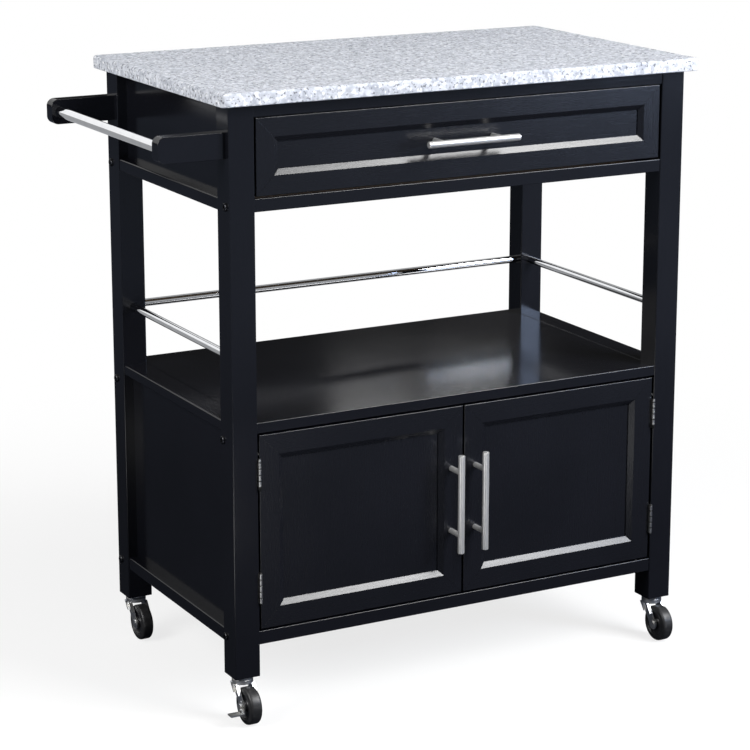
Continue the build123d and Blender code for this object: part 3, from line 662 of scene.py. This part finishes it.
def hinge_nickel():
    """Satin nickel with painted shade, partly dirt, in the gaps between the knuckles of the barrels. A
    height is measured from the foot of the hinge that it is on, and its remainder over the pitch says how
    far the nearest gap is."""
    material, tone = start_finish("satin_nickel_hinges")
    low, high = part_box("left_door_hardware")
    depth = tone.node("ShaderNodeSeparateXYZ", None, {"Vector": place(tone)}, "Y")
    height = depth.other("Z")
    upper = tone.maths("GREATER_THAN", height, (low.z + high.z) / 2)
    rise = height - low.z - upper * (high.z - low.z - HINGE_LENGTH) + KNUCKLE_GAP / 2
    past = tone.maths("MODULO", rise + KNUCKLE_PITCH, KNUCKLE_PITCH)
    away = KNUCKLE_PITCH / 2 - tone.maths("ABSOLUTE", past - KNUCKLE_PITCH / 2)
    barrel = tone.maths("LESS_THAN", depth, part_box("leg_front_left")[0].y)
    # Painted shade, partly dirt: near-black and duller in a band about each gap between knuckles, on the
    # barrel only.
    gap_shade = (1 - between(tone, away, *GAP_SHADE_EDGE)) * barrel
    brush = brush_lines(tone, UPRIGHT)
    colour = blend_colours(tone, brush, HINGE_DARK, HINGE_LIGHT)
    close_finish(tone, {
        "Base Color": blend_colours(tone, gap_shade, colour, HINGE_GAP_SHADE),
        "Metallic": 1.0,
        "Roughness": HINGE_GLOSS + brush * BRUSH_DULLING + gap_shade * GAP_SHADE_DULLING,
    })
    return material


paint_on(hinge_nickel(), "hinge_leg_leaves_and_pins", "left_door_hardware", "right_door_hardware")
hinge_screw = screw_form(HINGE_SCREW_RADIUS, HINGE_SCREW_PROUD, HINGE_SCREW_EASE, HINGE_SCREW_SLOT)
leg_screws = []
for side, way in (("left", 1), ("right", -1)):
    low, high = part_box(f"{side}_door_hardware")
    leg_low, leg_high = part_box(f"leg_front_{side}")
    door_low, door_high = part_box(f"{side}_door_frame")
    leaf_faces = (leg_high.x, door_low.x) if side == "left" else (leg_low.x, door_high.x)
    hinge_middles = (low.z + HINGE_LENGTH / 2, high.z - HINGE_LENGTH / 2)
    heads = []
    for face, outward in zip(leaf_faces, (way, -way)):
        spots = [
            (face + outward * LEAF_THICKNESS, leg_low.y + depth, height + rise)
            for height in hinge_middles
            for rise, depth in zip(HINGE_SCREW_RISES, HINGE_SCREW_DEPTHS)
        ]
        heads.append(set_out(hinge_screw, spots, (outward, 0, 0)))
    leg_screws.append(heads[0])
    add_piece(f"{side}_door_hinge_screws", heads[1], nickel_upright, "satin_nickel", f"{side}_door")
add_piece("leg_hinge_screws", together(*leg_screws), nickel_upright, "satin_nickel", "cart_frame")


# Catches: magnets in small moulded black cases, screwed to the cleat under the shelf. Each holds the
# strike plate on the back of its door.

CATCH_BLACK = (0.022, 0.022, 0.023, 1)
CATCH_SCUFF = (0.030, 0.030, 0.031, 1)
CATCH_GLOSS = 0.38
paint_on(moulded_finish("catch_plastic", CATCH_BLACK, CATCH_SCUFF, CATCH_GLOSS), "door_catches")


# Gallery rails: round steel bars, chromed, seated in blind holes in the legs on three sides of the
# shelf. The towel bar is a thicker one of the same kind, between two lacquered arms.

WIPE_SIZE = 0.02
WIPE_EDGE = (0.40, 0.75)
CHROME_CLEAR = (0.74, 0.75, 0.77, 1)
CHROME_WIPED = (0.68, 0.69, 0.71, 1)


def chrome_finish():
    """Polished chrome: clear and cool, a perfect mirror with a breath of wiped smears."""
    material, tone = start_finish("polished_chrome")
    wipe = between(tone, grains(tone, place(tone), WIPE_SIZE, detail=4, roughness=0.6), *WIPE_EDGE)
    colour = blend_colours(tone, wipe, CHROME_CLEAR, CHROME_WIPED)
    close_finish(tone, {"Base Color": colour, "Metallic": 1.0, "Roughness": 0.0})
    return material


paint_on(chrome_finish(), "towel_bar", "gallery_rail_back", "gallery_rail_left", "gallery_rail_right")
paint_on(lacquer_across, "towel_arm_front", "towel_arm_back")


# Worktop: one slab of pale grey granite, sawn, and honed dull on top and along its eased edges.
# It lies on the four legs and overhangs them a little all round.

QUARTZ_SIZE = 0.0075
QUARTZ_EDGE = (0.40, 0.62)
QUARTZ_SHARE = 0.65
CLOUD_SIZE = 0.016
CLOUD_EDGE = (0.35, 0.65)
CLOUD_SHARE = 0.35
FLECK_SIZE = 0.0046
FLECK_EDGE = (0.58, 0.64)
FLECK_SHARE = 0.85
FLECK_DULLING = 0.08
CRYSTAL_SIZE = 0.0052
CRYSTAL_EDGE = (0.58, 0.68)
CRYSTAL_SHARE = 0.8
GRANITE_GLOSS = 0.45
FELSPAR = (0.63, 0.65, 0.70, 1)
QUARTZ = (0.37, 0.39, 0.44, 1)
MICA = (0.13, 0.135, 0.15, 1)
CRYSTAL = (0.80, 0.81, 0.83, 1)


def granite_finish():
    """White felspar with grey quartz clouds, dark mica flecks and a few white crystals."""
    material, tone = start_finish("granite")
    spot = place(tone)
    quartz = between(tone, grains(tone, spot, QUARTZ_SIZE, detail=3), *QUARTZ_EDGE)
    fleck = between(tone, grains(tone, spot, FLECK_SIZE, roughness=0.6), *FLECK_EDGE)
    crystal = between(tone, grains(tone, spot, CRYSTAL_SIZE, detail=1), *CRYSTAL_EDGE)
    cloud = between(tone, grains(tone, spot, CLOUD_SIZE), *CLOUD_EDGE)
    colour = blend_colours(tone, quartz * QUARTZ_SHARE + cloud * CLOUD_SHARE, FELSPAR, QUARTZ)
    colour = blend_colours(tone, fleck * FLECK_SHARE, colour, MICA)
    close_finish(tone, {
        "Base Color": blend_colours(tone, crystal * CRYSTAL_SHARE, colour, CRYSTAL),
        "Roughness": GRANITE_GLOSS + fleck * FLECK_DULLING,
        "Specular IOR Level": 0.0,
    })
    return material


paint_on(granite_finish(), "granite_top")


# Floor: a plain white studio sweep. The camera sees it white with a soft shadow under the cart, and a
# glossy surface sees a share of that white.

FLOOR_HALF = 9.0
SHADOW_FADE = (0.5, 1.7)
SHADOW_SHARE = 0.22
SPECK_SIZE = 0.4
FLOOR_GREY = (0.92, 0.92, 0.92, 1)
FLOOR_WHITE = (0.95, 0.95, 0.95, 1)
FLOOR_DIM = (0.035, 0.038, 0.048, 1)
FLOOR_SHEEN = (0.80, 0.95, 1.25, 1)
GLOSS_NEAR = 0.01
GLOSS_FAR = 0.20
GLOSS_RISE = (1.0, 3.8)
GLOSS_CORNER = 0.05
CORNER_WAY = (-0.476, 0.879, 0)
CORNER_EDGE = (0.90, 0.97)
CHROME_SHARE = 0.36


def add_floor():
    """One square of floor, centred under the cart. Light adds a shadow near the cart and fades out. A
    glossy surface sees more of the white far off than near by, and little of it in the corner behind the
    towel bar: a spot is in that corner where the cosine of its angle from the corner's way is near 1."""
    corners = np.array([(-1, -1, 0), (1, -1, 0), (1, 1, 0), (-1, 1, 0)]) * FLOOR_HALF
    mesh = bpy.data.meshes.new("studio_floor")
    mesh.from_pydata(corners.tolist(), [], [(0, 1, 2, 3)])
    floor = bpy.data.objects.new("studio_floor", mesh)
    bpy.context.scene.collection.objects.link(floor)
    material, tone = start_finish("studio_white")
    spot = place(tone)
    away = tone.node("ShaderNodeVectorMath", {"operation": "LENGTH"}, {0: spot}, "Value")
    share = (1 - between(tone, away, *SHADOW_FADE)) * SHADOW_SHARE
    colour = blend_colours(tone, grains(tone, spot, SPECK_SIZE), FLOOR_GREY, FLOOR_WHITE)
    lit = tone.node("ShaderNodeBsdfDiffuse", None, {"Color": colour})
    bright = tone.node("ShaderNodeEmission", None, {"Color": (1, 1, 1, 1)})
    seen = tone.node("ShaderNodeMixShader", None, {0: share, 1: bright, 2: lit})
    heading = tone.node("ShaderNodeVectorMath", {"operation": "NORMALIZE"}, {0: spot}, "Vector")
    facing = {0: heading, 1: CORNER_WAY}
    cosine = tone.node("ShaderNodeVectorMath", {"operation": "DOT_PRODUCT"}, facing, "Value")
    far_share = GLOSS_FAR - between(tone, cosine, *CORNER_EDGE) * (GLOSS_FAR - GLOSS_CORNER)
    gloss = GLOSS_NEAR + between(tone, away, *GLOSS_RISE) * far_share
    camera_ray = tone.node("ShaderNodeLightPath", output="Is Camera Ray")
    mirrored = camera_ray.other("Is Glossy Ray") * gloss
    dim = tone.node("ShaderNodeBsdfDiffuse", None, {"Color": FLOOR_DIM})
    sheen = tone.node("ShaderNodeEmission", None, {"Color": FLOOR_SHEEN})
    dim = tone.node("ShaderNodeMixShader", None, {0: mirrored, 1: dim, 2: sheen})
    white = camera_ray + camera_ray.other("Is Transmission Ray")
    white = white + camera_ray.other("Is Singular Ray") * CHROME_SHARE
    surface = tone.node("ShaderNodeMixShader", None, {0: white, 1: dim, 2: seen})
    tone.node("ShaderNodeOutputMaterial", None, {"Surface": surface})
    mesh.materials.append(material)


add_floor()


# Lights: a tall soft key at the front right, whose gleam the bevels mirror, a low blue one beside it, a
# soft box on the left, two cards on the floor that the pulls mirror, and dim boxes behind for the rails
# and shelf.

CART_MIDDLE = (0.04, 0.0, 0.5)
KEY_AIM = (0.04, -0.1, 0.55)
LOW_KEY_BLUE = (0.72, 0.90, 1.30)


def add_softbox(name, spot, aim, size, radiance, colour=(1, 1, 1)):
    """A rectangular soft light of even radiance that faces a point and isn't seen by the camera."""
    data = bpy.data.lights.new(name, "AREA")
    data.shape = "RECTANGLE"
    data.size, data.size_y = size
    data.color = colour
    data.energy = np.pi * size[0] * size[1] * radiance
    lamp = bpy.data.objects.new(name, data)
    bpy.context.scene.collection.objects.link(lamp)
    lamp.location = spot
    lamp.rotation_euler = (Vector(aim) - Vector(spot)).to_track_quat("-Z", "Y").to_euler()
    lamp.visible_camera = False
    return lamp


key_box = add_softbox("key_box", (1.75, -2.55, 2.50), KEY_AIM, size=(1.9, 2.4), radiance=16.0)
key_box.visible_glossy = False
key_gleam = add_softbox("key_gleam", (1.77, -2.31, 2.71), KEY_AIM, size=(1.4, 1.3), radiance=24.0)
key_gleam.visible_diffuse = False
add_softbox("low_key", (1.50, -1.75, 1.05), (0.3, 0.1, 0.55), (0.45, 0.5), 13.0, LOW_KEY_BLUE)
add_softbox("left_box", (-2.30, -0.40, 1.70), CART_MIDDLE, size=(1.2, 1.4), radiance=10.0)
add_softbox("front_card", (-0.11, -1.30, 0.01), (-0.11, -1.30, 1.0), size=(0.24, 0.60), radiance=3.2)
add_softbox("left_card", (-1.00, -0.68, 0.01), (-1.00, -0.68, 1.0), size=(0.60, 0.60), radiance=3.0)
add_softbox("back_box", (-0.90, 2.50, 1.60), (-0.4, 0.0, 0.6), size=(2.8, 1.2), radiance=0.75)
add_softbox("shelf_glow_left", (0.98, 1.80, 1.14), (0.0, 0.0, 0.45), size=(0.20, 0.08), radiance=2.0)
add_softbox("shelf_glow_right", (1.27, 1.80, 1.14), (0.1, 0.0, 0.45), size=(0.26, 0.10), radiance=1.2)


# Surround: an even dim light from all sides. The camera sees it white, and a glossy surface sees it dark
# at the horizon, paler overhead and a little paler in front.

AMBIENT = 0.10
HORIZON_GLOSS = 0.02
ZENITH_GLOSS = 0.50
FRONT_GLOW = 0.06
FRONT_EDGE = (-0.2, 0.3)
SKY_RISE = (0.28, 0.90)
world = bpy.data.worlds.new("studio")
bpy.context.scene.world = world
world.use_nodes = True
world.node_tree.nodes.clear()
sky = Tone(world.node_tree)
direction = sky.node("ShaderNodeTexCoord", output="Generated")
backward = sky.node("ShaderNodeSeparateXYZ", None, {"Vector": direction}, "Y")
upward = between(sky, backward.other("Z"), *SKY_RISE)
forward = between(sky, 0 - backward, *FRONT_EDGE)
sky_camera = sky.node("ShaderNodeLightPath", output="Is Camera Ray")
sky_sharp = sky_camera.other("Is Singular Ray")
sky_gloss = sky_camera.other("Is Glossy Ray") * (1 - sky_sharp)
sky_white = sky_camera + sky_camera.other("Is Transmission Ray") + sky_sharp * CHROME_SHARE
mirrored = HORIZON_GLOSS + upward * (ZENITH_GLOSS - HORIZON_GLOSS) + forward * FRONT_GLOW - AMBIENT
surround = sky.node("ShaderNodeBackground", None, {
    "Color": (1, 1, 1, 1),
    "Strength": AMBIENT + sky_white * (1 - AMBIENT) + sky_gloss * mirrored,
})
sky.node("ShaderNodeOutputWorld", None, {"Surface": surround})
bpy.context.scene.view_settings.view_transform = "Standard"


# Camera: at the photograph's viewing angle, half a metre above the worktop at the front left, with a long
# lens and a small shift for the framing.

camera_data = bpy.data.cameras.new("camera")
camera_data.sensor_width = 36.0
camera_data.lens = 119.71
camera_data.shift_y = -0.06
camera = bpy.data.objects.new("camera", camera_data)
bpy.context.scene.collection.objects.link(camera)
camera.location = (-1.7489, -3.2385, 1.4044)
camera.rotation_euler = Vector((0.46232, 0.85406, -0.23844)).to_track_quat("-Z", "Y").to_euler()
bpy.context.scene.camera = camera
